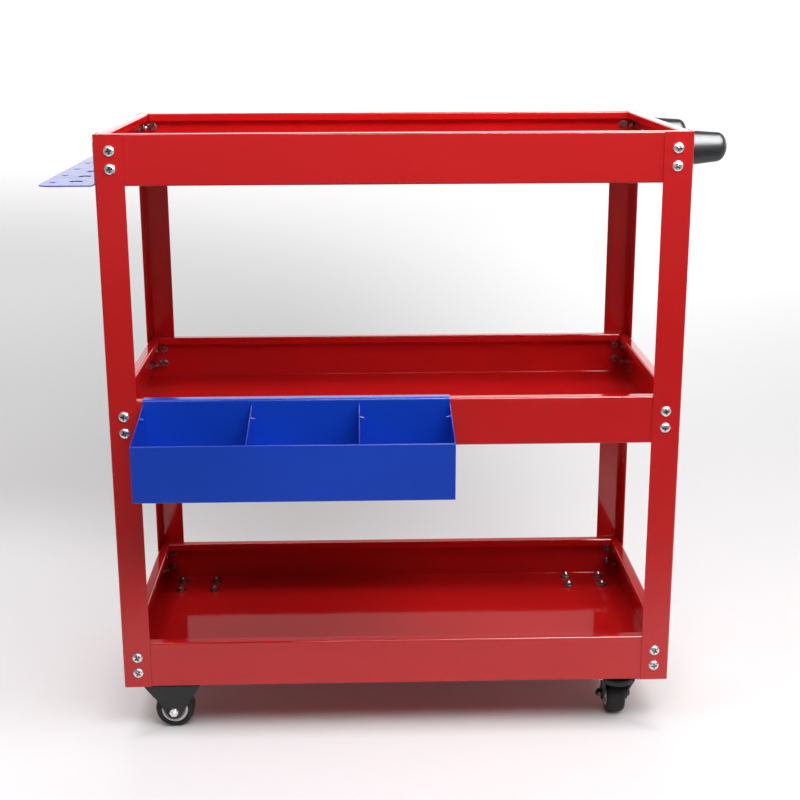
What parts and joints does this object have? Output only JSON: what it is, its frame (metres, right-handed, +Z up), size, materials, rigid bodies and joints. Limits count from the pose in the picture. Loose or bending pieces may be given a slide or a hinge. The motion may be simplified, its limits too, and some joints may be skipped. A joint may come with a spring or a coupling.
{
  "type": "tool cart",
  "caption": "Steel tool cart with three deep trays on angle posts, a hang-on divided bin, a drilled tool rack, a side push handle, and fixed and swivel casters.",
  "frame": {"origin": "on the floor, under the middle of the whole cart's bounding box", "axes": "+Z up; +X along the cart, from the tool rack to the handle end with the swivel casters; +Y across the cart, from the bin side to the back"},
  "size_m": [0.824, 0.481, 0.77],
  "materials": {
    "red_paint": "glossy powder coat with slight orange peel",
    "blue_paint": "semi-gloss powder coat",
    "black_plastic": "smooth moulded",
    "black_steel": "satin black coat",
    "zinc": "bright zinc plate",
    "tyre_rubber": "smooth matt rubber",
    "grey_plastic": "moulded"
  },
  "bodies": {
    "cart_frame": {"post_front_left": "red_paint", "post_front_right": "red_paint", "post_back_left": "red_paint", "post_back_right": "red_paint", "tray_bottom": "red_paint", "tray_middle": "red_paint", "tray_top": "red_paint", "tool_rack": "blue_paint", "handle_bracket_front": "black_plastic", "handle_bracket_back": "black_plastic", "handle_bar": "black_steel", "fixed_front_rig": "black_steel", "fixed_front_axle": "zinc", "fixed_front_nut": "zinc", "swivel_front_plate": "black_steel", "swivel_front_ball_race": "zinc", "swivel_front_kingpin": "zinc", "fixed_front_bolt_1": "zinc", "fixed_front_bolt_2": "zinc", "fixed_front_bolt_3": "zinc", "fixed_front_bolt_4": "zinc", "swivel_front_bolt_1": "zinc", "swivel_front_bolt_2": "zinc", "swivel_front_bolt_3": "zinc", "swivel_front_bolt_4": "zinc", "fixed_back_rig": "black_steel", "fixed_back_axle": "zinc", "fixed_back_nut": "zinc", "swivel_back_plate": "black_steel", "swivel_back_ball_race": "zinc", "swivel_back_kingpin": "zinc", "fixed_back_bolt_1": "zinc", "fixed_back_bolt_2": "zinc", "fixed_back_bolt_3": "zinc", "fixed_back_bolt_4": "zinc", "swivel_back_bolt_1": "zinc", "swivel_back_bolt_2": "zinc", "swivel_back_bolt_3": "zinc", "swivel_back_bolt_4": "zinc"},
    "bin": {"bin_shell": "blue_paint", "bin_end_left": "blue_paint", "bin_end_right": "blue_paint", "bin_divider_left": "blue_paint", "bin_divider_right": "blue_paint"},
    "fixed_front_wheel": {"fixed_front_tyre": "tyre_rubber", "fixed_front_hub": "grey_plastic"},
    "swivel_front_wheel": {"swivel_front_tyre": "tyre_rubber", "swivel_front_hub": "grey_plastic"},
    "swivel_front_fork": {"swivel_front_fork": "black_steel", "swivel_front_axle": "zinc", "swivel_front_nut": "zinc"},
    "fixed_back_wheel": {"fixed_back_tyre": "tyre_rubber", "fixed_back_hub": "grey_plastic"},
    "swivel_back_wheel": {"swivel_back_tyre": "tyre_rubber", "swivel_back_hub": "grey_plastic"},
    "swivel_back_fork": {"swivel_back_fork": "black_steel", "swivel_back_axle": "zinc", "swivel_back_nut": "zinc"}
  },
  "joints": [
    {"name": "bin_lift", "type": "slide", "parent": "cart_frame", "child": "bin", "axis": [0, 0, 1], "range_m": [0, 0.12]},
    {"name": "fixed_front_wheel_spin", "type": "hinge", "parent": "cart_frame", "child": "fixed_front_wheel", "pos_m": [-0.285, -0.091, 0.025], "axis": [0, 1, 0], "continuous": true},
    {"name": "fixed_back_wheel_spin", "type": "hinge", "parent": "cart_frame", "child": "fixed_back_wheel", "pos_m": [-0.285, 0.201, 0.025], "axis": [0, 1, 0], "continuous": true},
    {"name": "swivel_front_turn", "type": "hinge", "parent": "cart_frame", "child": "swivel_front_fork", "pos_m": [0.297, -0.091, 0.06], "axis": [0, 0, 1], "continuous": true},
    {"name": "swivel_front_wheel_spin", "type": "hinge", "parent": "swivel_front_fork", "child": "swivel_front_wheel", "pos_m": [0.297, -0.073, 0.025], "axis": [1, 0, 0], "continuous": true},
    {"name": "swivel_back_turn", "type": "hinge", "parent": "cart_frame", "child": "swivel_back_fork", "pos_m": [0.297, 0.201, 0.06], "axis": [0, 0, 1], "continuous": true},
    {"name": "swivel_back_wheel_spin", "type": "hinge", "parent": "swivel_back_fork", "child": "swivel_back_wheel", "pos_m": [0.297, 0.219, 0.025], "axis": [1, 0, 0], "continuous": true}
  ]
}
